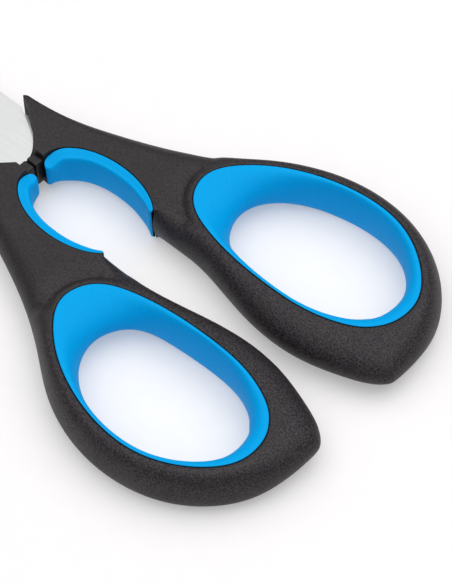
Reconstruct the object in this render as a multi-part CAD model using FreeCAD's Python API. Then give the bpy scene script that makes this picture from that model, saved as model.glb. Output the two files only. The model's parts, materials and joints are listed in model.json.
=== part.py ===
import FreeCAD, Part
import math
import os

# Office scissors with a moulded handle on each blade and soft grips in the finger loops.
#
# Outlines are drawn about the pivot axis, in millimetres, on the plane midway through the
# thickness: +X runs along the centre line towards the finger loops, the blade tips point to -X,
# and +Y is the right half's handle. The right half is modelled in full. The left half is the same
# set of pieces turned over about the X axis, as the two real halves are. Everything is then
# moved so that the origin is under the middle of the closed scissors, on the surface they rest on.

# Driving dimensions
OVERALL_LENGTH = 210.0      # closed, blade tip to the end of the finger loops
LOOP_HALF_HEIGHT = 5.4      # half the thickness of the finger loops
ARM_HALF_HEIGHT = 4.6       # half the thickness of the arms, which are a little thinner
BLADE_THICKNESS = 1.7
BLADE_GAP = 0.1             # free space between the blades' flat faces
LIP = 0.4                   # flat rim of the soft loop grip around its mouth
LAND = 0.6                  # flat rim of the moulding around the loop grip
PROFILE_ANGLES = [0, 20, 40, 58, 74, 90]    # stations of an elliptical side, in degrees

# Pivot hardware
SHANK_RADIUS = 2.5
RUNNING_CLEARANCE = 0.04
HEAD_RADIUS = 4.6
HEAD_HEIGHT = 1.9
HEAD_ROUNDING = 0.9
SLOT_WIDTH = 1.1
SLOT_DEPTH = 0.8
WASHER_RADIUS = 5.1
WASHER_THICKNESS = 0.4
DISC_RADIUS = 5.0
DISC_THICKNESS = 0.3
NUT_RADIUS = 4.4
NUT_HEIGHT = 2.0
NUT_HOLE_RADIUS = 0.6
NUT_HOLE_OFFSET = 3.3
NUT_HOLE_DEPTH = 1.0

# Finger loop outlines of the right half: stations anticlockwise from the loop's far end.
# Each row is one station: the moulding's outer edge, the parting line between the moulding
# and its soft grip, and the narrowest part of the opening.
LOOP_STATIONS = [
    ((109.2, 22.5), (103.8, 22.45), (99.15, 22.8)),
    ((104.9, 31.1), (101.4, 28.95), (98.1, 27.4)),
    ((97.9, 37.55), (95.75, 34.25), (94.2, 32.0)),
    ((88.95, 41.3), (88.0, 37.75), (87.65, 35.6)),
    ((79.3, 42.35), (79.5, 38.5), (79.4, 36.65)),
    ((69.45, 40.8), (70.55, 37.0), (71.0, 35.2)),
    ((59.9, 36.6), (61.55, 33.45), (63.8, 31.0)),
    ((51.7, 30.4), (54.15, 28.2), (59.9, 26.15)),
    ((47.0, 22.0), (49.7, 21.5), (58.9, 20.9)),
    ((49.4, 12.6), (51.85, 14.55), (60.8, 15.95)),
    ((58.0, 6.9), (59.05, 10.75), (64.4, 12.7)),
    ((68.1, 4.8), (68.5, 8.95), (69.7, 10.95)),
    ((79.1, 2.6), (79.0, 8.45), (79.2, 10.0)),
    ((91.1, 2.6), (89.5, 9.35), (88.85, 11.5)),
    ((101.8, 5.4), (97.95, 12.6), (95.4, 15.2)),
    ((107.3, 7.85), (100.45, 14.45), (97.2, 17.1)),
    ((109.4, 9.6), (101.25, 15.3), (97.85, 17.85)),
    ((109.95, 10.4), (102.0, 16.35), (98.3, 18.75)),
    ((110.2, 11.6), (102.45, 17.2), (98.6, 19.55)),
    ((110.25, 13.6), (103.2, 19.05), (98.9, 20.7)),
]

# Arm of the right half. Its outline is given twice: at mid thickness, and where its rounded
# sides meet the flat top and bottom. The rounding grows from the wing back to the loop.
NOSE_Y = 2.4                        # the nose's face towards the centre line
FRONT_EDGE = [(17.6, 2.4), (16.1, 3.95), (14.55, 5.4), (12.95, 6.8), (11.3, 7.95), (9.6, 9.1),
              (8.0, 10.1), (6.9, 10.55)]
FRONT_EDGE_RIM = [(17.65, 2.4), (16.15, 4.0), (14.6, 5.45), (13.0, 6.85), (11.35, 8.0),
                  (9.65, 9.15), (8.05, 10.15), (6.95, 10.6)]
WING = [(6.1, 10.85), (5.8, 11.2), (6.0, 11.65)]
WING_RIM = [(6.2, 10.9), (6.0, 11.1), (6.3, 11.35)]
OUTER_EDGE = [(6.6, 12.05), (16.5, 14.35), (26.5, 18.0), (36.5, 22.3), (45.4, 26.9), (53.1, 31.9)]
OUTER_EDGE_RIM = [(6.9, 11.65), (17.3, 12.3), (28.3, 14.6), (38.8, 18.0), (47.6, 23.0), (55.3, 29.9)]
ARM_REAR_X = 62.0                   # inside the finger loop, where the loop takes over
INNER_EDGE_Y = (6.3, 8.0)           # at mid thickness and at the faces

# Soft strip on the arm's side of the middle gap
GAP_CENTRE = (35.2, 3.0)            # ellipse that the strip is set into
GAP_RADII = (14.5, 8.3)
GAP_REAR_Y = 7.22
GAP_NOSE_Y = 1.3                    # the strip's front end stands out past the nose
GAP_GRIP_INNER = [(23.5, 1.3), (23.6, 3.1), (25.1, 5.6), (27.2, 7.15), (31.0, 8.5), (35.4, 8.9),
                  (39.8, 8.65), (43.0, 7.95), (46.9, 6.6)]
GAP_GRIP_ROUNDING = 1.0
GAP_NOSE_ROUNDING = 1.2

# Stop pad of the right half, which meets the left half's pad when the scissors are closed
PAD_X = (17.7, 20.6)
PAD_Y = (0.15, 2.4)
PAD_HALF_HEIGHT = 3.3
PAD_ROUNDING = 0.3
TONGUE_X = (18.5, 20.0)
TONGUE_DEPTH = 1.8
TONGUE_HALF_HEIGHT = 2.2

# Blade of the right half (its cutting part lies on the -Y side)
BLADE_TIP = (-99.6, 0.3)
CUTTING_HEEL = (-14.0, 1.2)
RICASSO = (-10.4, 6.2)
SPINE = [(6.2, -10.1), (-20.0, -9.6), (-45.0, -8.1), (-70.0, -5.9), (-88.0, -3.3), (-98.2, -0.7)]
SHANK_FRONT = [(6.2, -10.1), (11.3, -7.3), (15.8, -3.8), (16.5, -2.8)]
SHANK_REAR = [(17.2, -1.4), (17.2, 2.6)]
TANG_INNER = [(17.2, 2.6), (20.4, 7.4), (26.0, 11.7), (33.0, 13.9), (44.0, 16.2)]
TANG_OUTER = [(44.0, 19.8), (35.0, 17.2), (24.0, 13.4), (14.0, 11.1), (6.0, 10.1), (0.0, 10.1)]
BEVEL_WIDTH = 3.2
EDGE_THICKNESS = 0.25



def at(point, z):
    """A plan point (x, y) lifted to height z."""
    return FreeCAD.Vector(point[0], point[1], z)


def toward(start, end, distance):
    """The point that lies a distance from start on the way to end."""
    length = math.dist(start, end)
    return tuple(a + (b - a) * distance / length for a, b in zip(start, end))


def mix(start, end, share):
    """The point that lies a share of the way from start to end."""
    return tuple(a + (b - a) * share for a, b in zip(start, end))


def spline(points, z):
    """An open smooth edge through plan points."""
    curve = Part.BSplineCurve()
    curve.interpolate([at(p, z) for p in points])
    return curve.toShape()


def line(start, end, z):
    return Part.makeLine(at(start, z), at(end, z))


def ring_wire(points, z):
    """A closed smooth wire through plan points."""
    curve = Part.BSplineCurve()
    curve.interpolate(Points=[at(p, z) for p in points], PeriodicFlag=True)
    return Part.Wire([curve.toShape()])


def slab(wire, low, high):
    """The solid between two heights over a flat closed wire drawn at height low."""
    return Part.Face(wire).extrude(FreeCAD.Vector(0, 0, high - low))


def elliptical(half_height):
    """From bottom to top: how far in from the widest outline a rounded side is (0 at mid
    thickness, 1 at the faces) and at which height."""
    stations = [-a for a in reversed(PROFILE_ANGLES[1:])] + PROFILE_ANGLES
    angles = [math.radians(a) for a in stations]
    return [(1.0 - math.cos(a), half_height * math.sin(a)) for a in angles]


def profile_loft(middle, rim, half_height):
    """A solid whose outline is middle at mid thickness and closes to rim at both faces."""
    sections = []
    for share, height in elliptical(half_height):
        outline = [mix(m, r, share) for m, r in zip(middle, rim)]
        sections.append(ring_wire(outline, height))
    return Part.makeLoft(sections, True, False)


def rounded(solid, radius, keep):
    """The solid with the edges that keep(edge) picks rounded to radius."""
    return solid.makeFillet(radius, [e for e in solid.Edges if keep(e)])


def level_edge(edge, height):
    """True for an edge that lies at +height or -height all along."""
    box = edge.BoundBox
    return box.ZLength < 1e-6 and abs(abs(box.ZMin) - height) < 1e-6


def box_between(x, y, z):
    corner = FreeCAD.Vector(x[0], y[0], z[0])
    return Part.makeBox(x[1] - x[0], y[1] - y[0], z[1] - z[0], corner)


def loop_points(column):
    return [station[column] for station in LOOP_STATIONS]


def loop_socket():
    """The space that the soft loop grip fills, from face to face."""
    height = LOOP_HALF_HEIGHT
    return slab(ring_wire(loop_points(1), -height), -height, height)


def loop_moulding():
    """The rounded ring around the finger opening, without its socket."""
    outer = loop_points(0)
    rim = [toward(p, o, LAND) for o, p in zip(outer, loop_points(1))]
    return profile_loft(outer, rim, LOOP_HALF_HEIGHT)


def loop_grip():
    """Soft lining of the finger loop: a funnel from each face to a waist halfway through."""
    parting = loop_points(1)
    waist = loop_points(2)
    lip = [toward(p, w, LIP) for p, w in zip(parting, waist)]
    return loop_socket().cut(profile_loft(waist, lip, LOOP_HALF_HEIGHT))


def gap_arc(z, nose_y=NOSE_Y):
    """The part of the middle gap's ellipse that lies in the right arm, from rear to nose."""
    ellipse = Part.Ellipse(at(GAP_CENTRE, z), *GAP_RADII)
    rear = math.asin((GAP_REAR_Y - GAP_CENTRE[1]) / GAP_RADII[1])
    nose = math.pi - math.asin((nose_y - GAP_CENTRE[1]) / GAP_RADII[1])
    return Part.Arc(ellipse, rear, nose).toShape()


def arc_ends(arc):
    """Plan points of the gap arc's rear end and nose end."""
    points = sorted((v.X, v.Y) for v in arc.Vertexes)
    return points[1], points[0]


def arm_section(share, z):
    """The arm's outline at height z, a share of the way from its widest outline to its rim."""
    arc = gap_arc(z)
    rear, nose = arc_ends(arc)
    front = [mix(a, b, share) for a, b in zip(FRONT_EDGE, FRONT_EDGE_RIM)]
    outer = [mix(a, b, share) for a, b in zip(OUTER_EDGE, OUTER_EDGE_RIM)]
    wing = [mix(a, b, share) for a, b in zip(WING, WING_RIM)]
    inner_y = INNER_EDGE_Y[0] + (INNER_EDGE_Y[1] - INNER_EDGE_Y[0]) * share
    step = (rear[0] + 3.0, inner_y)
    corner = (ARM_REAR_X, inner_y)
    far_corner = (ARM_REAR_X, outer[-1][1])
    edges = [
        line(front[0], nose, z),
        arc,
        line(rear, step, z),
        line(step, corner, z),
        line(corner, far_corner, z),
        line(far_corner, outer[-1], z),
        spline(outer, z),
        spline([front[-1]] + wing + [outer[0]], z),
        spline(front, z),
    ]
    return Part.Wire(Part.__sortEdges__(edges))


def arm_moulding():
    """The arm from the wing beside the blades back into the finger loop."""
    sections = [arm_section(share, height) for share, height in elliptical(ARM_HALF_HEIGHT)]
    return Part.makeLoft(sections, True, False)


def near(edge, point, reach):
    """True for an edge whose middle lies within reach of a plan point."""
    middle = edge.valueAt(0.5 * (edge.FirstParameter + edge.LastParameter))
    return math.dist((middle.x, middle.y), point) < reach


def gap_grip():
    """Soft strip along the arm's side of the middle gap, as deep as the arm is thick."""
    z = -ARM_HALF_HEIGHT
    arc = gap_arc(z, GAP_NOSE_Y)
    rear, nose = arc_ends(arc)
    inner = spline(GAP_GRIP_INNER, z)
    ends = [line(nose, GAP_GRIP_INNER[0], z), line(GAP_GRIP_INNER[-1], rear, z)]
    wire = Part.Wire(Part.__sortEdges__([arc, inner] + ends))
    strip = slab(wire, z, -z)
    strip = rounded(strip, GAP_NOSE_ROUNDING,
                    lambda e: e.BoundBox.ZLength > 1.0 and near(e, GAP_GRIP_INNER[0], 0.2))
    return rounded(strip, GAP_GRIP_ROUNDING,
                   lambda e: level_edge(e, ARM_HALF_HEIGHT)
                   and not isinstance(e.Curve, Part.Ellipse))


def stop_pad():
    """Block that takes the knock of closing, held in the nose by a tongue."""
    block = box_between(PAD_X, PAD_Y, (-PAD_HALF_HEIGHT, PAD_HALF_HEIGHT))
    block = rounded(block, PAD_ROUNDING, lambda e: e.BoundBox.YMin < PAD_Y[1] - 0.1)
    tongue_y = (PAD_Y[1] - 0.2, PAD_Y[1] + TONGUE_DEPTH)
    tongue = box_between(TONGUE_X, tongue_y, (-TONGUE_HALF_HEIGHT, TONGUE_HALF_HEIGHT))
    return block.fuse(tongue).removeSplitter()


def blade_outline(z):
    """Plan outline of the blade: spine, point, cutting edge, heel, tang and shank."""
    edges = [
        spline(SPINE, z),
        line(SPINE[-1], BLADE_TIP, z),
        line(BLADE_TIP, CUTTING_HEEL, z),
        line(CUTTING_HEEL, RICASSO, z),
        spline([RICASSO, (-6.4, 9.3), TANG_OUTER[-1]], z),
        spline(TANG_OUTER, z),
        line(TANG_OUTER[0], TANG_INNER[-1], z),
        spline(TANG_INNER, z),
        line(SHANK_REAR[-1], SHANK_REAR[0], z),
        line(SHANK_REAR[0], SHANK_FRONT[-1], z),
        spline(SHANK_FRONT, z),
    ]
    return Part.Wire(Part.__sortEdges__(edges))


def bevel():
    """Wedge ground off the outside of the blade along its cutting edge."""
    low = -BLADE_GAP / 2 - BLADE_THICKNESS
    high = -BLADE_GAP / 2 - EDGE_THICKNESS
    start = toward(CUTTING_HEEL, BLADE_TIP, -1.0)
    length = math.dist(start, BLADE_TIP) + 3.0
    corners = [(-0.5, low - 0.5), (BEVEL_WIDTH, low), (0.0, high), (-0.5, high)]
    points = [FreeCAD.Vector(0.0, y, z) for y, z in corners]
    face = Part.Face(Part.makePolygon(points + [points[0]]))
    wedge = face.extrude(FreeCAD.Vector(length, 0, 0))
    angle = math.atan2(BLADE_TIP[1] - start[1], BLADE_TIP[0] - start[0])
    wedge.rotate(FreeCAD.Vector(), FreeCAD.Vector(0, 0, 1), math.degrees(angle))
    wedge.translate(at(start, 0.0))
    return wedge


def cylinder(radius, low, high, centre=(0.0, 0.0)):
    return Part.makeCylinder(radius, high - low, at(centre, low))


def blade():
    """The right half's blade with its tang, under the mid plane."""
    low = -BLADE_GAP / 2 - BLADE_THICKNESS
    body = slab(blade_outline(low), low, -BLADE_GAP / 2)
    body = body.cut(bevel())
    return body.cut(cylinder(SHANK_RADIUS + RUNNING_CLEARANCE, low - 1.0, 1.0))


def handle(steel, grip, strip, pad):
    """The right half's moulding, around the tang and everything set into it."""
    body = arm_moulding().fuse(loop_moulding()).cut(loop_socket())
    for fitted in (strip, pad, steel):
        body = body.cut(fitted)
    return body.removeSplitter()


def head_top():
    return BLADE_GAP / 2 + BLADE_THICKNESS + WASHER_THICKNESS + HEAD_HEIGHT


def pivot_screw():
    """Domed and slotted head on top, with a plain shank through both blades into the nut."""
    base = head_top() - HEAD_HEIGHT
    head = cylinder(HEAD_RADIUS, base, head_top())
    head = rounded(head, HEAD_ROUNDING,
                   lambda e: abs(e.BoundBox.ZMin - head_top()) < 1e-6)
    slot = box_between((-HEAD_RADIUS, HEAD_RADIUS), (-SLOT_WIDTH / 2, SLOT_WIDTH / 2),
                       (head_top() - SLOT_DEPTH, head_top() + 1.0))
    nut_base = -BLADE_GAP / 2 - BLADE_THICKNESS - DISC_THICKNESS - NUT_HEIGHT
    return head.cut(slot).fuse(cylinder(SHANK_RADIUS, nut_base, base)).removeSplitter()


def ring_disc(radius, low, high):
    """A flat washer around the screw's shank."""
    return cylinder(radius, low, high).cut(cylinder(SHANK_RADIUS, low - 1.0, high + 1.0))


def pivot_nut():
    """Round nut underneath, with two holes for a pin spanner."""
    top = -BLADE_GAP / 2 - BLADE_THICKNESS - DISC_THICKNESS
    low = top - NUT_HEIGHT
    nut = ring_disc(NUT_RADIUS, low, top)
    for side in (-1, 1):
        hole = cylinder(NUT_HOLE_RADIUS, low - 1.0, low + NUT_HOLE_DEPTH,
                        (side * NUT_HOLE_OFFSET, 0.0))
        nut = nut.cut(hole)
    return nut


def turned_over(solid):
    """The same piece on the other half: turned half a turn about the X axis."""
    return solid.rotated(FreeCAD.Vector(), FreeCAD.Vector(1, 0, 0), 180.0)


def all_nodes():
    steel = blade()
    grip = loop_grip()
    strip = gap_grip()
    pad = stop_pad()
    right = {
        "handle": handle(steel, grip, strip, pad),
        "loop_grip": grip,
        "gap_grip": strip,
        "stop_pad": pad,
    }
    nodes = {"right_" + name: solid for name, solid in right.items()}
    nodes.update({"left_" + name: turned_over(solid) for name, solid in right.items()})
    nodes["bottom_blade"] = steel
    nodes["top_blade"] = turned_over(steel)
    nodes["pivot_screw"] = pivot_screw()
    upper = BLADE_GAP / 2 + BLADE_THICKNESS
    nodes["head_washer"] = ring_disc(WASHER_RADIUS, upper, upper + WASHER_THICKNESS)
    nodes["nut_washer"] = ring_disc(DISC_RADIUS, -upper - DISC_THICKNESS, -upper)
    nodes["pivot_nut"] = pivot_nut()
    return nodes


def to_part_frame(solid):
    """Move from the pivot to the frame whose origin is under the middle of the scissors."""
    middle = BLADE_TIP[0] + OVERALL_LENGTH / 2
    return solid.translated(FreeCAD.Vector(-middle, 0, LOOP_HALF_HEIGHT))


os.makedirs("parts", exist_ok=True)
for node, solid in all_nodes().items():
    placed = to_part_frame(solid)
    placed.exportStep("parts/" + node + ".step")
    print(node, placed.isValid(), len(placed.Solids), round(placed.Volume, 1), placed.BoundBox)
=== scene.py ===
# %% [markdown]
# # Office scissors with soft finger loops
# Two crossed steel blades turn on a screw. Each blade has a grained handle moulded round its tang,
# and each handle carries a soft ring in its finger loop and a soft strip in the middle gap.
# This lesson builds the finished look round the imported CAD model, which fixes every size and place.

# %% Load the frame that everything is built round
import json
import math
import bmesh
import bpy
import numpy as np
from mathutils import Euler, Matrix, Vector
from mathutils.geometry import delaunay_2d_cdt


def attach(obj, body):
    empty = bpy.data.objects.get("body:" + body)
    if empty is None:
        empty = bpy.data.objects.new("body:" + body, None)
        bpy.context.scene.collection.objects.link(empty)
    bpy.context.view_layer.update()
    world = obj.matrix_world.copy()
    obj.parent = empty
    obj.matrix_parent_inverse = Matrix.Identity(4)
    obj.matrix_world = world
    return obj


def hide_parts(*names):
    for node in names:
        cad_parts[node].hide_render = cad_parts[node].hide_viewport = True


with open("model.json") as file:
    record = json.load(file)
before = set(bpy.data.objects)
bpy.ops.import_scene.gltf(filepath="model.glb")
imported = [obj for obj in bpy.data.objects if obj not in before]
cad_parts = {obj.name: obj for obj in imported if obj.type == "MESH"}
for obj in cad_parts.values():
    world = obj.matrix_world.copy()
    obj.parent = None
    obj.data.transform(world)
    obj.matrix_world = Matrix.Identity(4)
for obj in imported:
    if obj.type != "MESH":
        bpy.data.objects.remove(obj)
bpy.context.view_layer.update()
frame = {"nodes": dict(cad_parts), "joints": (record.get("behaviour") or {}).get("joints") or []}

MM = 0.001
pivot = np.array(frame["joints"][0]["pos_m"])

# %% [markdown]
# ## Drawing with stations
# The halves are drawn in millimetres about the pivot axis, on the plane midway through the thickness,
# as the part's own source does. Each outline is a list of stations, and a cubic spline joins them,
# because a moulder's tool is cut along curves with no flats or kinks. One row of a list holds several
# points that belong together, such as the widest edge and the rim above it, so that the surface
# between them can be ruled from one to the other.


# %% A smooth curve through stations
def slopes(knots, values, closed):
    """How fast each value changes at its station, for the smoothest curve through all of them."""
    count = len(values)
    steps = np.diff(knots)
    system = np.zeros((count, count))
    right = np.zeros_like(values)
    for i in range(count):
        if not closed and i in (0, count - 1):
            other, step, sign = (1, steps[0], 1) if i == 0 else (i - 1, steps[-1], -1)
            system[i, i] = 2
            system[i, other] = 1
            right[i] = sign * 3 * (values[other] - values[i]) / step
            continue
        before, after, following = steps[i - 1], steps[i], (i + 1) % count
        system[i, i - 1] += 1 / before
        system[i, following] += 1 / after
        system[i, i] += 2 / before + 2 / after
        right[i] = 3 * (values[i] - values[i - 1]) / before**2
        right[i] += 3 * (values[following] - values[i]) / after**2
    return np.linalg.solve(system, right)


def smooth(stations, spacing, closed=False):
    """Evenly spaced rows on the curve through the stations. An open curve keeps both its ends."""
    values = np.array(stations, float).reshape(len(stations), -1)
    path = np.vstack([values, values[:1]]) if closed else values
    lengths = np.hypot(*np.diff(path[:, :2], axis=0).T)
    knots = np.concatenate([[0], np.cumsum(lengths)])
    rates = slopes(knots, values, closed)
    if closed:
        rates = np.vstack([rates, rates[:1]])
    count = max(3, round(knots[-1] / spacing))
    wanted = np.linspace(0, knots[-1], count + (not closed), endpoint=not closed)
    piece = np.clip(np.searchsorted(knots, wanted, side="right") - 1, 0, len(path) - 2)
    step = (knots[piece + 1] - knots[piece])[:, None]
    t = (wanted - knots[piece])[:, None] / step
    start, end = path[piece], path[piece + 1]
    lead, trail = rates[piece] * step, rates[piece + 1] * step
    return (
        start * (2 * t**3 - 3 * t**2 + 1) + lead * (t**3 - 2 * t**2 + t)
        + end * (3 * t**2 - 2 * t**3) + trail * (t**3 - t**2)
    )


# %% Small helpers: distances, easing, inside and outside
def near(points, ring):
    """Distance from each plan point to the nearest point of a ring."""
    gaps = points[:, None, :] - ring[None, :, :]
    return np.sqrt((gaps**2).sum(2).min(1))


def ease(values, low, high):
    """0 below low, 1 above high, and a soft step between."""
    t = np.clip((np.asarray(values, float) - low) / (high - low), 0, 1)
    return t * t * (3 - 2 * t)


def inside(points, ring):
    """True for the plan points that lie inside a closed ring."""
    x, y = points[:, 0][:, None], points[:, 1][:, None]
    ax, ay = ring[:, 0][None], ring[:, 1][None]
    bx, by = np.roll(ring[:, 0], -1)[None], np.roll(ring[:, 1], -1)[None]
    straddles = (ay > y) != (by > y)
    slope = (bx - ax) / np.where(by == ay, 1e-12, by - ay)
    return (straddles & (x < ax + (y - ay) * slope)).sum(1) % 2 == 1


def outward(ring):
    """Unit directions that point out of an anticlockwise ring."""
    along = np.roll(ring, -1, axis=0) - np.roll(ring, 1, axis=0)
    along /= np.hypot(*along.T)[:, None]
    return np.stack([along[:, 1], -along[:, 0]], 1)


# %% From rows of points to a piece on both halves
def lift(plan, heights):
    """Plan points raised to their heights."""
    return np.column_stack([plan, np.broadcast_to(heights, len(plan))])


def bridge(first, second, count, closed=True):
    """Four-sided faces between two rows of a skin, given where each row starts."""
    spans = range(count if closed else count - 1)
    return [
        (first + i, first + (i + 1) % count, second + (i + 1) % count, second + i) for i in spans
    ]


MERGE = 0.002           # points closer than this are one point
SHARP = 50              # degrees at an edge, above which it is shaded as a crease


def piece_from(name, mesh):
    """A piece from its mesh, with the doubles merged and the faces pointing outwards."""
    mesh.name = name
    work = bmesh.new()
    work.from_mesh(mesh)
    bmesh.ops.remove_doubles(work, verts=work.verts, dist=MERGE * MM)
    bmesh.ops.recalc_face_normals(work, faces=work.faces)
    work.to_mesh(mesh)
    work.free()
    mesh.shade_smooth()
    mesh.set_sharp_from_angle(angle=math.radians(SHARP))
    piece = bpy.data.objects.new(name, mesh)
    bpy.context.scene.collection.objects.link(piece)
    return piece


def make_piece(name, points, faces, mirrored):
    """A piece in metres from points in millimetres about the pivot."""
    points = np.array(points, float)
    if mirrored:
        points = points * [1, -1, 1]
    mesh = bpy.data.meshes.new(name)
    mesh.from_pydata((points * MM + pivot).tolist(), [], faces)
    return piece_from(name, mesh)


def report(piece):
    """Prints a piece's size, its face count and any open edges."""
    size = [round(v * 1000, 2) for v in piece.dimensions]
    work = bmesh.new()
    work.from_mesh(piece.data)
    loose = sum(len(e.link_faces) != 2 for e in work.edges)
    work.free()
    print(f"{piece.name}: {size} mm, {len(piece.data.polygons)} faces, {loose} open edges")


HALVES = {"right": False, "left": True}

# %% [markdown]
# ## The finger loop
# Three rings run round the loop together: the moulding's outer edge, the parting line where the hard
# moulding meets its soft ring, and the waist, the narrowest part of the opening. Each station is one
# cut across the loop, so the three rings stay opposite each other all the way round.

# %% Loop stations: outer edge, parting line, waist
LOOP = [
    ((109.2, 22.5), (103.7, 23.7), (99.1, 23.4)),
    ((104.9, 31.1), (101.4, 29.1), (98.1, 27.5)),
    ((97.9, 37.55), (95.75, 34.25), (94.2, 32.0)),
    ((88.95, 41.3), (88.0, 37.75), (87.65, 35.6)),
    ((79.3, 42.35), (79.5, 38.5), (79.4, 36.65)),
    ((69.45, 40.8), (70.55, 37.0), (71.0, 35.2)),
    ((59.9, 36.6), (61.55, 33.45), (63.8, 31.0)),
    ((51.7, 30.4), (54.15, 28.2), (59.9, 26.15)),
    ((47.0, 22.0), (49.7, 21.5), (58.9, 20.9)),
    ((49.4, 12.6), (51.85, 14.55), (60.8, 15.95)),
    ((58.0, 6.9), (59.05, 10.75), (64.4, 12.7)),
    ((68.1, 4.8), (68.5, 8.95), (69.7, 10.95)),
    ((79.1, 2.6), (79.0, 8.45), (79.2, 10.0)),
    ((91.1, 2.6), (89.5, 9.35), (88.85, 11.5)),
    ((101.8, 5.4), (97.95, 12.5), (95.4, 15.2)),
    ((107.3, 7.85), (100.8, 14.8), (97.2, 17.1)),
    ((109.4, 9.6), (101.85, 16.1), (97.9, 17.95)),
    ((109.95, 10.4), (102.2, 16.6), (98.1, 18.35)),
    ((110.2, 11.6), (102.55, 17.2), (98.35, 18.85)),
    ((110.25, 13.6), (103.05, 18.3), (98.65, 19.7)),
]
SPACING = 0.5
loop_rows = smooth(LOOP, SPACING, closed=True)
parting, waist = loop_rows[:, 2:4], loop_rows[:, 4:6]
print("loop:", len(loop_rows), "stations, opening", np.round(np.ptp(waist, axis=0), 1), "mm")

# %% How thick the handle is, anywhere in plan
LOOP_HALF = 5.4         # half the thickness of the loop
ARM_HALF = 4.6          # half the thickness of the arm
FAR_END_HALF = 5.15     # the loop thins a little towards its far end
THINS_FROM, THINS_TO = 88, 106      # along the handle
COLLAR = (0.75, 2.2)    # the raised collar round the soft ring ends between these distances
VALLEY = (1.2, 2.4)     # the soft valley outside the collar deepens between these distances
VALLEY_END = (2.6, 6.5)             # and fades out again between these
VALLEY_DEPTH = 0.32
EDGE_DROP = 1.2         # the outside of the loop is widest a little below mid thickness


def loop_half(x):
    """Half the thickness along the parting line."""
    return LOOP_HALF - (LOOP_HALF - FAR_END_HALF) * ease(x, THINS_FROM, THINS_TO)


def handle_half(plan):
    """Half the thickness over the handle's top, with a soft valley outside the collar."""
    away = near(plan, parting)
    raised = loop_half(plan[:, 0]) - ARM_HALF
    dip = VALLEY_DEPTH * ease(away, *VALLEY) * (1 - ease(away, *VALLEY_END))
    return ARM_HALF + raised * (1 - ease(away, *COLLAR)) - dip


def under_half(plan):
    """Half the thickness on the underside, which has no collar: the loop only swells gently."""
    return ARM_HALF + (loop_half(plan[:, 0]) - ARM_HALF) * ease(plan[:, 0], 60, 76)


def edge_height(plan):
    """Height of the widest line round the handle, about mid thickness."""
    return -EDGE_DROP * ease(plan[:, 0], 45, 62) * ease(plan[:, 1], 18, 30)


# %% [markdown]
# ## The handle's outline
# The outline is given twice, at mid thickness and where the rounded side meets the top. The rounding
# is tiny at the wing, a full bullnose along the outside of the arm, and takes up the whole width of
# the loop, so that the hand feels no edge. Corners between the runs stay sharp, as on the real tool.

# %% Runs of the outline: each row is a point at mid thickness and the rim above it
LAND = 0.45             # flat left between the rounded side and the parting line


def landed(outer, edge, land=LAND):
    """An outline station on the loop: its rim stops a land's width short of the parting line."""
    reach = math.dist(outer, edge)
    return (*outer, *(e + (o - e) * land / reach for o, e in zip(outer, edge)))


def ellipse(centre, radii, start, end, count):
    """Points on an ellipse between two angles in degrees."""
    angles = np.radians(np.linspace(start, end, count))
    return np.column_stack([
        centre[0] + radii[0] * np.cos(angles), centre[1] + radii[1] * np.sin(angles),
    ])


def angle_at(centre, radii, point):
    """The angle in degrees at which an ellipse passes a point."""
    return math.degrees(math.atan2((point[1] - centre[1]) / radii[1], (point[0] - centre[0]) / radii[0]))


OUTER_SIDE = [
    (6.6, 12.05, 6.9, 11.65), (16.5, 14.35, 17.3, 12.3), (26.5, 18.0, 28.3, 14.6),
    (36.5, 22.3, 38.8, 18.0), (45.4, 26.9, 47.6, 23.0), (53.1, 31.9, 55.3, 29.9),
]
INNER_SIDE = [(58.6, 6.3, 59.2, 9.7), (53.6, 6.25, 54.4, 10.2), (47.75, 6.6, 48.4, 8.5)]
FRONT = [
    (17.6, 2.4, 17.6, 2.5), (16.1, 3.95, 16.1, 4.0), (14.55, 5.4, 14.55, 5.45),
    (12.95, 6.8, 12.95, 6.85), (11.3, 7.95, 11.35, 8.0), (9.6, 9.1, 9.65, 9.15),
    (8.0, 10.1, 8.05, 10.15), (6.9, 10.55, 6.95, 10.6),
]
WING = [
    (6.9, 10.55, 6.95, 10.6), (6.1, 10.85, 6.2, 10.9), (5.8, 11.15, 6.0, 11.1),
    (6.0, 11.65, 6.3, 11.35), (6.6, 12.05, 6.9, 11.65),
]
NOSE_Y = 2.4
GAP_CENTRE, GAP_RADII = (35.2, 3.0), (14.5, 8.3)
GAP_EDGE = 0.12         # rounding of the moulding where the soft strip meets it

loop_side = [landed(LOOP[i][0], LOOP[i][1]) for i in (*range(6, -1, -1), *range(19, 10, -1))]
long_side = smooth(OUTER_SIDE + loop_side + INNER_SIDE, SPACING)
rim_radii = (GAP_RADII[0] + GAP_EDGE, GAP_RADII[1] + GAP_EDGE)
gap_ends = [angle_at(GAP_CENTRE, GAP_RADII, p) for p in ((47.7, 7.22), (20.74, NOSE_Y))]
rim_ends = [angle_at(GAP_CENTRE, rim_radii, p) for p in ((47.8, 7.45), (20.63, 2.5))]
gap_ends, rim_ends = ([a % 360 for a in ends] for ends in (gap_ends, rim_ends))
gap_side = np.hstack([
    ellipse(GAP_CENTRE, GAP_RADII, *gap_ends, 80), ellipse(GAP_CENTRE, rim_radii, *rim_ends, 80),
])
nose_side = np.linspace(gap_side[-1], FRONT[0], 9)
front_side, wing_side = smooth(FRONT, SPACING), smooth(WING, 0.15)
runs = [long_side, gap_side, nose_side[1:], front_side[1:], wing_side[1:-1]]
outline = np.vstack(runs)[::-1]
edge, rim = outline[:, :2], outline[:, 2:]
print("outline:", len(outline), "stations, box", np.round(np.ptp(edge, axis=0), 1), "mm")

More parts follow.
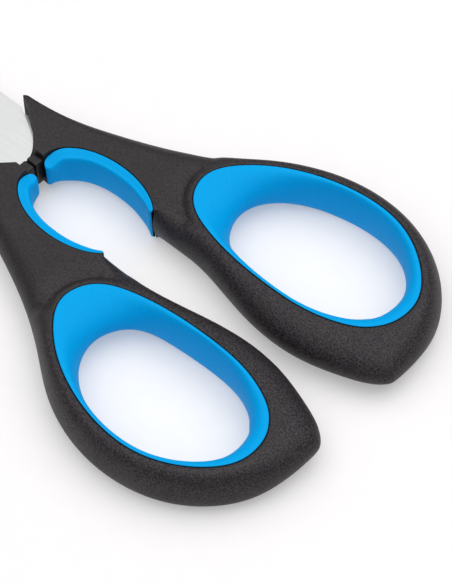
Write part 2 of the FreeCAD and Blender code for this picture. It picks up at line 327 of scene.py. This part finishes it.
# %% [markdown]
# ## The handle moulding
# The skin is laid in three parts. The rounded side is a set of rows, each a share of a quarter
# ellipse between the edge and the rim. The top is a net of triangles between the rim and the parting
# line, with rows of points that follow the collar, raised to the thickness worked out above. Last
# comes the small rolled edge at the parting line, which draws the thin dark line that a two-shot
# moulding always shows. The underside is laid the same way, but it has no collar, so that it lies flat.

# %% Points for the top net
collar_out = outward(parting)
NET_ROWS = (0.6, 1.1, 1.6, 2.1, 2.6, 3.1, 3.6, 4.2, 4.9)
NET_PITCH = 0.95
ROLL = 0.25             # radius of the rolled edge at the parting line


def net_points():
    """Points inside the handle's top: rows round the collar, then an even grid over the arm."""
    rows = np.vstack([parting + collar_out * d for d in NET_ROWS])
    own = np.repeat(NET_ROWS, len(parting))
    rows = rows[(near(rows, parting) > own - 0.05) & inside(rows, rim)]
    rows = rows[near(rows, rim) > 0.35]
    low, high = rim.min(0), rim.max(0)
    xs = np.arange(low[0], high[0], NET_PITCH)
    ys = np.arange(low[1], high[1], NET_PITCH)
    grid = np.array([(x + (j % 2) * NET_PITCH / 2, y) for j, y in enumerate(ys) for x in xs])
    grid = grid[inside(grid, rim) & ~inside(grid, parting)]
    grid = grid[(near(grid, rim) > 0.5) & (near(grid, parting) > NET_ROWS[-1] + 0.6)]
    return np.vstack([rows, grid])


def top_net(hole):
    """Triangles between the rim and the rolled edge round the hole."""
    loose = net_points()
    points = np.vstack([rim, hole, loose])
    a, b = len(rim), len(hole)
    bounds = [(i, (i + 1) % a) for i in range(a)] + [(a + i, a + (i + 1) % b) for i in range(b)]
    found = delaunay_2d_cdt([Vector(p) for p in points], bounds, [], 0, 1e-5)
    plan = np.array([tuple(v) for v in found[0]])
    middles = np.array([plan[list(f)].mean(0) for f in found[2]])
    keep = inside(middles, rim) & ~inside(middles, hole)
    return plan, [tuple(f) for f, k in zip(found[2], keep) if k]


# %% Lay the skin of one handle
SIDE_ANGLES = np.radians([0, 8, 16, 25, 34, 43, 52, 60, 68, 75, 82, 90])
ROLL_ANGLES = np.radians([0, 30, 60, 90])
hole = parting + collar_out * ROLL
net_plan, net_faces = top_net(hole)


def face_skin(side, half_of):
    """The skin from the widest line to the middle of the hole's wall, on top or underneath."""
    points, faces = [], []

    def lay(rows):
        first, size = len(points), len(rows[0])
        for row in rows:
            points.extend(row)
        for k in range(len(rows) - 1):
            faces.extend(bridge(first + k * size, first + (k + 1) * size, size))

    start = edge_height(edge)
    climb = side * half_of(rim) - start
    lay([
        lift(edge + (rim - edge) * (1 - math.cos(a)), start + climb * math.sin(a))
        for a in SIDE_ANGLES
    ])
    first = len(points)
    points.extend(lift(net_plan, side * half_of(net_plan)))
    faces.extend(tuple(first + i for i in face) for face in net_faces)
    top = side * half_of(hole)
    rolled = [
        lift(parting + collar_out * ROLL * (1 - math.sin(a)), top - side * ROLL * (1 - math.cos(a)))
        for a in ROLL_ANGLES
    ]
    lay(rolled + [lift(parting, top * 0.5), lift(parting, 0)])
    return points, faces


def handle_skin():
    """Points and faces of a whole handle, in millimetres about the pivot."""
    points, faces = face_skin(1, handle_half)
    under_points, under_faces = face_skin(-1, under_half)
    shift = len(points)
    return points + under_points, faces + [tuple(shift + i for i in f) for f in under_faces]


handle_points, handle_faces = handle_skin()
handles = {}
for half, mirrored in HALVES.items():
    handles[half] = make_piece(f"{half}_handle_moulding", handle_points, handle_faces, mirrored)
    report(handles[half])

# %% [markdown]
# ## The soft ring in the finger loop
# The ring is the second shot of the moulding, a soft rubber that lines the loop. Its rule is simple:
# at every station the surface leaves the parting line as a narrow flat lip and then runs down a
# quarter ellipse to the waist, and back up the other side. A rule like that suits Geometry Nodes:
# the mesh is only a ladder of stations that know their parting line and waist, and the tree bends the
# ladder into shape, with the lip's width and the squareness of the shoulder as named inputs.

# %% The node tree that rolls a lip into a rounded wall
rule = bpy.data.node_groups.new("Lip to waist", "GeometryNodeTree")
for label, kind in (
    ("Geometry", "NodeSocketGeometry"), ("Lip width", "NodeSocketFloat"),
    ("Lip fall", "NodeSocketFloat"), ("Edge roll", "NodeSocketFloat"),
    ("Squareness", "NodeSocketFloat"),
    ("Finish", "NodeSocketMaterial"),
):
    rule.interface.new_socket(label, in_out="INPUT", socket_type=kind)
rule.interface.new_socket("Geometry", in_out="OUTPUT", socket_type="NodeSocketGeometry")


def add(kind, **settings):
    """A node in the rule's tree, with its settings."""
    node = rule.nodes.new(kind)
    for key, value in settings.items():
        setattr(node, key, value)
    return node


def feed(socket, value):
    """Joins a value or another node's output to a socket."""
    if isinstance(value, bpy.types.NodeSocket):
        rule.links.new(value, socket)
    else:
        socket.default_value = value


def maths(operation, *values):
    node = add("ShaderNodeMath", operation=operation)
    for socket, value in zip(node.inputs, values):
        feed(socket, value)
    return node.outputs[0]


def vectors(operation, *values):
    node = add("ShaderNodeVectorMath", operation=operation)
    for socket, value in zip(node.inputs, values):
        feed(socket, value)
    return node.outputs["Vector"]


def scaled(vector, share):
    node = add("ShaderNodeVectorMath", operation="SCALE")
    feed(node.inputs[0], vector)
    feed(node.inputs["Scale"], share)
    return node.outputs["Vector"]


def stored(label, kind="FLOAT"):
    node = add("GeometryNodeInputNamedAttribute", data_type=kind)
    node.inputs["Name"].default_value = label
    return node.outputs["Attribute"]


LIP_LIMIT = 0.65        # widest share of the way to the waist that a lip may take

given = add("NodeGroupInput").outputs
parting_at, waist_at = stored("parting", "FLOAT_VECTOR"), stored("waist", "FLOAT_VECTOR")
turn, back, half_at = stored("turn"), stored("back"), stored("half")
across = vectors("SUBTRACT", waist_at, parting_at)
inward = vectors("NORMALIZE", across)
reach = add("ShaderNodeVectorMath", operation="LENGTH")
feed(reach.inputs[0], across)
lip_width = maths("MINIMUM", given["Lip width"], maths("MULTIPLY", reach.outputs["Value"], LIP_LIMIT))
lip_at = vectors("ADD", parting_at, scaled(inward, lip_width))
power = maths("DIVIDE", 2.0, given["Squareness"])
cosine = maths("POWER", maths("ABSOLUTE", maths("COSINE", turn)), power)
sine = maths("SINE", turn)
rise = maths("MULTIPLY", maths("SIGN", sine), maths("POWER", maths("ABSOLUTE", sine), power))
wall = vectors("ADD", lip_at, scaled(vectors("SUBTRACT", waist_at, lip_at), cosine))
lip_back = maths("MULTIPLY", lip_width, back)
wall = vectors("SUBTRACT", wall, scaled(inward, lip_back))
narrowing = maths("DIVIDE", lip_width, given["Lip width"])
fallen = maths("MULTIPLY", maths("MULTIPLY", given["Lip fall"], narrowing), maths("SUBTRACT", 1.0, back))
rolled_off = maths("MULTIPLY", given["Edge roll"], stored("roll"))
height = maths("MULTIPLY", rise, maths("SUBTRACT", half_at, maths("ADD", fallen, rolled_off)))
lifted = add("ShaderNodeCombineXYZ")
feed(lifted.inputs["Z"], height)
place = add("GeometryNodeSetPosition")
feed(place.inputs["Geometry"], given["Geometry"])
feed(place.inputs["Position"], vectors("ADD", wall, lifted.outputs[0]))
solid = add("GeometryNodeRealizeInstances")
feed(solid.inputs["Geometry"], place.outputs["Geometry"])
paint = add("GeometryNodeSetMaterial")
feed(paint.inputs["Geometry"], solid.outputs["Geometry"])
feed(paint.inputs["Material"], given["Finish"])
feed(add("NodeGroupOutput").inputs["Geometry"], paint.outputs["Geometry"])
print("rule:", len(rule.nodes), "nodes, inputs", [s.name for s in rule.interface.items_tree])

# %% Lay a ladder of stations and let the rule bend it
WALL_ANGLES = np.radians(np.linspace(90, -90, 41))


def ladder_section(lip):
    """Down the section: how far back on the lip each row is, its turn, and its share of the roll."""
    share = min(0.6, ROLL / lip)
    rolled = [(1 - share * (1 - math.cos(a)), 1 - math.sin(a)) for a in ROLL_ANGLES]
    top = rolled + [(back_share * (1 - share), 0.0) for back_share in (0.75, 0.5, 0.25)]
    rows = [(back_share, math.pi / 2, roll) for back_share, roll in top]
    rows += [(0.0, angle, 0.0) for angle in WALL_ANGLES]
    return rows + [(back_share, -math.pi / 2, roll) for back_share, roll in reversed(top)]


def ruled_piece(name, starts, ends, halves, closed, mirrored, **sizes):
    """A piece bent by the rule from its parting line, its waist and its half thickness."""
    section = ladder_section(sizes["Lip width"] / MM)
    count = len(starts)
    faces = []
    for k in range(len(section)):
        if k + 1 < len(section):
            faces += bridge(k * count, (k + 1) * count, count, closed)
    faces += bridge((len(section) - 1) * count, 0, count, closed)
    if not closed:
        for end in (0, count - 1):
            faces.append([k * count + end for k in range(len(section))])
    mesh = bpy.data.meshes.new(name + "_ladder")
    mesh.from_pydata(np.zeros((count * len(section), 3)).tolist(), [], faces)
    flip = np.array([1, -1 if mirrored else 1, 1])

    def store(label, kind, values):
        layer = mesh.attributes.new(label, kind, "POINT")
        field = "vector" if kind == "FLOAT_VECTOR" else "value"
        layer.data.foreach_set(field, np.asarray(values, np.float32).ravel())

    tall = len(section)
    store("parting", "FLOAT_VECTOR", np.tile(lift(starts, 0) * flip * MM + pivot, (tall, 1)))
    store("waist", "FLOAT_VECTOR", np.tile(lift(ends, 0) * flip * MM + pivot, (tall, 1)))
    above, below = (np.asarray(h) * MM for h in halves)
    store("half", "FLOAT", np.concatenate([above if row[1] > 0 else below for row in section]))
    for column, label in enumerate(("back", "turn", "roll")):
        store(label, "FLOAT", np.repeat([row[column] for row in section], count))
    ladder = bpy.data.objects.new(name + "_ladder", mesh)
    bpy.context.scene.collection.objects.link(ladder)
    bend = ladder.modifiers.new("Lip to waist", "NODES")
    bend.node_group = rule
    for socket in rule.interface.items_tree:
        if socket.in_out == "INPUT" and socket.name in sizes:
            bend[socket.identifier] = sizes[socket.name]
    return finished(ladder, name)


def finished(ladder, name):
    """The evaluated ladder as a plain, closed mesh piece. The ladder itself is thrown away."""
    bpy.context.view_layer.update()
    seen = bpy.context.evaluated_depsgraph_get()
    mesh = bpy.data.meshes.new_from_object(ladder.evaluated_get(seen))
    bpy.data.objects.remove(ladder)
    return piece_from(name, mesh)


# %% [markdown]
# ## Finishes
# Five finishes make the scissors: grained nylon for the handles, soft rubber for the grips, smooth
# nylon for the stop pads, satin steel for the blades and turned steel for the pivot. Each is a
# small node tree on object coordinates, so that the grain keeps its real size wherever the piece
# goes. The numbers that are the same all over are set straight on the shader.


# %% A material with a two-tone colour, a roughness range and a bump
def ranged(nodes, limits, *targets):
    """A Map Range node with the given limits."""
    node = nodes.new("ShaderNodeMapRange")
    for label, value in zip(("From Min", "From Max", "To Min", "To Max"), limits + targets):
        node.inputs[label].default_value = value
    return node


def finish(name, colours, roughness, grain_size, bump, stretch=(1, 1, 1), detail=3.0, **shader):
    """grain_size is the width of one grain in metres, and bump its height in metres."""
    material = bpy.data.materials.new(name)
    material.use_nodes = True
    nodes, links = material.node_tree.nodes, material.node_tree.links
    surface = nodes["Principled BSDF"]
    for label, value in shader.items():
        surface.inputs[label.replace("_", " ")].default_value = value
    where = nodes.new("ShaderNodeTexCoord")
    turned = nodes.new("ShaderNodeMapping")
    turned.inputs["Scale"].default_value = stretch
    links.new(where.outputs["Object"], turned.inputs["Vector"])
    grain = nodes.new("ShaderNodeTexNoise")
    grain.name = "grain"
    grain.inputs["Scale"].default_value = 0.5 / grain_size
    grain.inputs["Detail"].default_value = detail
    links.new(turned.outputs["Vector"], grain.inputs["Vector"])
    cloud = nodes.new("ShaderNodeTexNoise")
    cloud.inputs["Scale"].default_value = 90.0
    cloud.inputs["Detail"].default_value = 2.0
    links.new(where.outputs["Object"], cloud.inputs["Vector"])
    speckle = ranged(nodes, (0.35, 0.65), 0.0, 1.0)
    speckle.name = "speckle"
    links.new(grain.outputs["Fac"], speckle.inputs["Value"])
    links.new(mixed(material, colours, speckle.outputs["Result"]), surface.inputs["Base Color"])
    sheen = ranged(nodes, (0.3, 0.7), *roughness)
    links.new(cloud.outputs["Fac"], sheen.inputs["Value"])
    links.new(sheen.outputs["Result"], surface.inputs["Roughness"])
    relief = nodes.new("ShaderNodeBump")
    relief.name = "relief"
    relief.inputs["Distance"].default_value = bump
    links.new(grain.outputs["Fac"], relief.inputs["Height"])
    links.new(relief.outputs["Normal"], surface.inputs["Normal"])
    return material


def mixed(material, colours, factor):
    """The output of a colour mix. Each colour is a plain colour or another node's output."""
    tone = material.node_tree.nodes.new("ShaderNodeMix")
    tone.data_type = "RGBA"
    for socket, colour in zip((tone.inputs["A"], tone.inputs["B"]), colours):
        if isinstance(colour, bpy.types.NodeSocket):
            material.node_tree.links.new(colour, socket)
        else:
            socket.default_value = (*colour, 1)
    material.node_tree.links.new(factor, tone.inputs["Factor"])
    return tone.outputs["Result"]


# %% The five finishes
moulding = finish(
    "Grained nylon", ((0.010, 0.0085, 0.0092), (0.026, 0.022, 0.024)), (0.46, 0.56),
    0.00017, 0.00008, Specular_IOR_Level=0.3,
)
rubber = finish(
    "Soft blue rubber", ((0.0, 0.315, 0.70), (0.0, 0.345, 0.75)), (0.5, 0.6),
    0.00016, 0.000015, Specular_IOR_Level=0.06,
)
smooth_nylon = finish(
    "Smooth nylon", ((0.012, 0.010, 0.011), (0.018, 0.015, 0.016)), (0.42, 0.5),
    0.00035, 0.00001, Specular_IOR_Level=0.3,
)
satin_steel = finish(
    "Satin steel", ((0.56, 0.565, 0.565), (0.60, 0.605, 0.605)), (0.24, 0.32),
    0.00012, 0.000004, stretch=(0.02, 1, 1), Metallic=1.0,
)
turned_steel = finish(
    "Turned steel", ((0.66, 0.67, 0.68), (0.75, 0.76, 0.77)), (0.18, 0.26),
    0.00015, 0.000003, Metallic=1.0,
)

# %% [markdown]
# The tool that moulds the handles is etched more deeply round the finger loops than on the arms, for
# a better hold. So the nylon's grain gets stronger along the handle. The rubber gets a thin line of
# painted shade along its rolled edge, where it dips into the narrow seam that lies in shade.

# %% Coarser grain on the loops, and painted shade in the seam round the rubber
COARSE_FROM, COARSE_TO = 0.036, 0.056      # along the handle, in metres

nodes, links = moulding.node_tree.nodes, moulding.node_tree.links
along = nodes.new("ShaderNodeSeparateXYZ")
links.new(nodes["Texture Coordinate"].outputs["Object"], along.inputs[0])
zone = ranged(nodes, (COARSE_FROM, COARSE_TO), 0.0, 1.0)
links.new(along.outputs["X"], zone.inputs["Value"])
surface = nodes["Principled BSDF"]
fine = surface.inputs["Base Color"].links[0].from_socket
coarse = mixed(
    moulding, ((0.0005, 0.0004, 0.0005), (0.042, 0.034, 0.040)), nodes["speckle"].outputs["Result"],
)
links.new(mixed(moulding, (fine, coarse), zone.outputs["Result"]), surface.inputs["Base Color"])
etching = ranged(nodes, (COARSE_FROM, COARSE_TO), 0.5, 1.0)
links.new(along.outputs["X"], etching.inputs["Value"])
links.new(etching.outputs["Result"], nodes["relief"].inputs["Strength"])

# Painted shade: the rubber is darkened along its rolled edge, where the narrow seam lies in shade.
seam_shade_mask = rubber.node_tree.nodes.new("ShaderNodeAttribute")
seam_shade_mask.attribute_name = "roll"
surface = rubber.node_tree.nodes["Principled BSDF"]
plain = surface.inputs["Base Color"].links[0].from_socket
painted_seam_shade = ranged(rubber.node_tree.nodes, (0.0, 0.4), 0.0, 1.0)
rubber.node_tree.links.new(seam_shade_mask.outputs["Fac"], painted_seam_shade.inputs["Value"])
seam_shade_colour = mixed(rubber, (plain, (0.002, 0.008, 0.014)), painted_seam_shade.outputs["Result"])
rubber.node_tree.links.new(seam_shade_colour, surface.inputs["Base Color"])
print("finishes:", sorted(m.name for m in bpy.data.materials)[-5:])

# %% The soft rings
LOOP_LIP = 0.5
SLOT = 0.06             # hairline gap between the moulding and its soft ring
loop_grips = {}
for half, mirrored in HALVES.items():
    loop_grips[half] = ruled_piece(
        f"{half}_loop_ring", parting - collar_out * SLOT, waist,
        (loop_half(parting[:, 0]), under_half(parting)), True, mirrored,
        **{
            "Lip width": LOOP_LIP * MM, "Lip fall": 0.0, "Edge roll": ROLL * MM,
            "Squareness": 2.0, "Finish": rubber,
        },
    )
    report(loop_grips[half])

# %% [markdown]
# ## The soft strip in the middle gap
# The gap between the arms grips bottle necks and nuts, and a strip of the same rubber lines each side
# of it. It is set into an elliptical groove, is widest in the middle, thins to nothing at the back,
# and ends at the front in a rounded nose that is lower than the arm.

# %% Strip stations: groove side, free side
STRIP = [
    (47.66, 7.22, 46.95, 6.5), (46.4, 8.24, 45.5, 7.2), (44.0, 9.57, 43.0, 7.95),
    (40.5, 10.7, 39.8, 8.65), (35.4, 11.28, 35.4, 8.9), (30.0, 10.73, 31.0, 8.5),
    (25.6, 9.2, 27.2, 7.15), (22.9, 7.36, 25.1, 5.6), (21.4, 5.5, 24.0, 4.3), (20.82, 3.9, 23.6, 3.1),
    (20.85, 2.4, 23.4, 2.1), (21.2, 1.4, 23.3, 1.3),
]
STRIP_LIP = 2.0         # sloping lip between the groove and the free side
STRIP_FALL = 0.8        # how much lower the lip ends than it starts
NOSE_ROUND = 1.6        # radius of the strip's front end, seen from above
REAR_ROUND = 0.5        # radius of its thin rear end
NOSE_HALF = 3.35        # half the thickness at the front end
NOSE_FALL = 0.9         # how far the front end also rounds over
REAR_FALL = 0.5         # how far the rear end rounds over
strip = smooth(STRIP, SPACING)
groove, free = strip[:, :2], strip[:, 2:]
print("strip:", len(strip), "stations, widest", round(float(np.hypot(*(free - groove).T).max()), 2))


# %% Round both ends of the strip and lower its nose
def rounded_end(groove, free, radius):
    """Close stations over the last bit of the strip, where it narrows round a half circle."""
    both = np.hstack([groove, free])
    middle = (groove + free) / 2
    left = np.concatenate([np.cumsum(np.hypot(*np.diff(middle[::-1], axis=0).T))[::-1], [0]])
    angles = np.radians([0, 12, 24, 36, 48, 60, 70, 79, 86])
    wanted = radius * (1 - np.sin(angles))
    close = np.column_stack([np.interp(-wanted, -left, column) for column in both.T])
    narrower = (close[:, 2:] - close[:, :2]) / 2 * (1 - np.cos(angles))[:, None]
    close = np.hstack([close[:, :2] + narrower, close[:, 2:] - narrower])
    kept = np.vstack([both[left > radius + 0.1], close])
    return kept[:, :2], kept[:, 2:]


groove, free = rounded_end(groove, free, NOSE_ROUND)
groove, free = (side[::-1] for side in rounded_end(groove[::-1], free[::-1], REAR_ROUND))
width = np.hypot(*(free - groove).T)
at_nose = groove[:, 0] < 30
nose_drop = (ARM_HALF - NOSE_HALF) * (1 - ease(groove[:, 1], 1.9, 7.2))
nose_drop = nose_drop + NOSE_FALL * (1 - ease(width, 0.1, 2.4)) ** 2
rear_drop = REAR_FALL * (1 - ease(width, 0.1, 1.2))
strip_half = ARM_HALF - np.where(at_nose, nose_drop, rear_drop)
gap_grips = {}
for half, mirrored in HALVES.items():
    gap_grips[half] = ruled_piece(
        f"{half}_gap_strip", groove, free, (strip_half, strip_half), False, mirrored,
        **{
            "Lip width": STRIP_LIP * MM, "Lip fall": STRIP_FALL * MM, "Edge roll": ROLL * MM,
            "Squareness": 2.8, "Finish": rubber,
        },
    )
    report(gap_grips[half])

# %% [markdown]
# ## The stop pads
# Two small smooth blocks meet on the centre line when the scissors close, so that the handles stop
# without a knock. Each is a rounded block, drawn as one closed surface whose squareness is set by a
# power, which gives soft edges all round and a faintly crowned face.

# %% Rounded stop pads
PAD_X, PAD_Y, PAD_HALF = (17.65, 20.65), (0.15, 2.42), 3.3


def rounded_block(x, y, half, power=0.22, around=64, tall=40):
    """Points and faces of a closed rounded block between the given limits."""
    def sharpen(values):
        return np.sign(values) * np.abs(values) ** power

    turns = np.linspace(0, 2 * math.pi, around, endpoint=False)
    points = [(sum(x) / 2, sum(y) / 2, -half)]
    for lean in np.linspace(-math.pi / 2, math.pi / 2, tall + 1)[1:-1]:
        ring = np.column_stack([
            sum(x) / 2 + (x[1] - x[0]) / 2 * sharpen(np.cos(turns)) * sharpen(np.cos(lean)),
            sum(y) / 2 + (y[1] - y[0]) / 2 * sharpen(np.sin(turns)) * sharpen(np.cos(lean)),
        ])
        points.extend(lift(ring, half * float(sharpen(np.sin(lean)))))
    points.append((sum(x) / 2, sum(y) / 2, half))
    faces = [(0, 1 + (i + 1) % around, 1 + i) for i in range(around)]
    for k in range(tall - 2):
        faces += bridge(1 + k * around, 1 + (k + 1) * around, around)
    last = len(points) - 1
    faces += [(last, last - around + i, last - around + (i + 1) % around) for i in range(around)]
    return points, faces


pads = {}
for half, mirrored in HALVES.items():
    pads[half] = make_piece(f"{half}_stop_block", *rounded_block(PAD_X, PAD_Y, PAD_HALF), mirrored)
    report(pads[half])

# %% [markdown]
# ## Putting the pieces on the frame
# Every piece rides on the body it belongs to and stands for its CAD node. The blades and the pivot
# keep their CAD shapes, which are turned and ground forms already, and only get their finish.

# %% Ride on the body, stand in for the CAD node, and take the finishes
for half in HALVES:
    body = f"{half}_half"
    handles[half].data.materials.append(moulding)
    pads[half].data.materials.append(smooth_nylon)
    for piece, node, slot in (
        (handles[half], "handle", "moulding"), (loop_grips[half], "loop_grip", "soft_grip"),
        (gap_grips[half], "gap_grip", "soft_grip"), (pads[half], "stop_pad", "pad"),
    ):
        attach(piece, body)
        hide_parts(f"{half}_{node}")
for node, steel in (
    ("bottom_blade", satin_steel), ("top_blade", satin_steel), ("pivot_screw", turned_steel),
    ("head_washer", turned_steel), ("nut_washer", turned_steel), ("pivot_nut", turned_steel),
):
    metal = frame["nodes"][node]
    metal.data.materials.clear()
    metal.data.materials.append(steel)

# %% [markdown]
# ## Floor, light and camera
# The scissors lie on a white table in a white room. The table gives off a little light of its own,
# so that it comes out white. One large soft lamp stands high on the far side, and the room light
# fills the shadows, so the black plastic keeps its grain and the steel stays bright. The camera
# looks down across the handles through a long lens, which keeps the loops' shape.

# %% White table
bpy.ops.mesh.primitive_plane_add(size=6)
table = bpy.context.object
table.name = "table_top"
white = finish(
    "White table", ((0.58, 0.567, 0.565), (0.59, 0.577, 0.575)), (0.6, 0.7), 0.002, 0.0,
    Emission_Color=(1.0, 0.995, 1.0, 1.0), Emission_Strength=0.3,
)
table.data.materials.append(white)

# %% Soft studio light
ROOM_FADE = (0.25, 1.0, 0.1, 1.75)      # the room is darker towards the horizon than overhead

room = bpy.data.worlds.new("Room")
room.use_nodes = True
wires, parts = room.node_tree.links, room.node_tree.nodes
sky = parts["Background"]
sky.inputs["Strength"].default_value = 1.0
direction = parts.new("ShaderNodeTexCoord")
split = parts.new("ShaderNodeSeparateXYZ")
shade = parts.new("ShaderNodeMapRange")
shade.interpolation_type = "SMOOTHSTEP"
for label, value in zip(("From Min", "From Max", "To Min", "To Max"), ROOM_FADE):
    shade.inputs[label].default_value = value
wires.new(direction.outputs["Generated"], split.inputs[0])
wires.new(split.outputs["Z"], shade.inputs["Value"])
wires.new(shade.outputs["Result"], sky.inputs["Color"])
bpy.context.scene.world = room


def soft_lamp(name, place, target, size, power):
    """A square lamp that faces its target."""
    light = bpy.data.lights.new(name, "AREA")
    light.size = size
    light.energy = power
    lamp = bpy.data.objects.new(name, light)
    lamp.location = place
    lamp.rotation_euler = (Vector(target) - Vector(place)).to_track_quat("-Z", "Y").to_euler()
    bpy.context.scene.collection.objects.link(lamp)
    return lamp


key = soft_lamp("key_lamp", (0.30, 0.50, 0.95), (0.06, 0, 0), 0.9, 2.4)
bpy.context.scene.view_settings.view_transform = "Standard"

# %% Camera on a long lens
lens = bpy.data.cameras.new("camera")
lens.lens = 227.28
lens.sensor_width = 36
camera = bpy.data.objects.new("camera", lens)
camera.location = (0.38750, -0.29936, 0.60325)
camera.rotation_euler = Euler([math.radians(a) for a in (36.4726, 2.3979, 43.4618)])
bpy.context.scene.collection.objects.link(camera)
bpy.context.scene.camera = camera
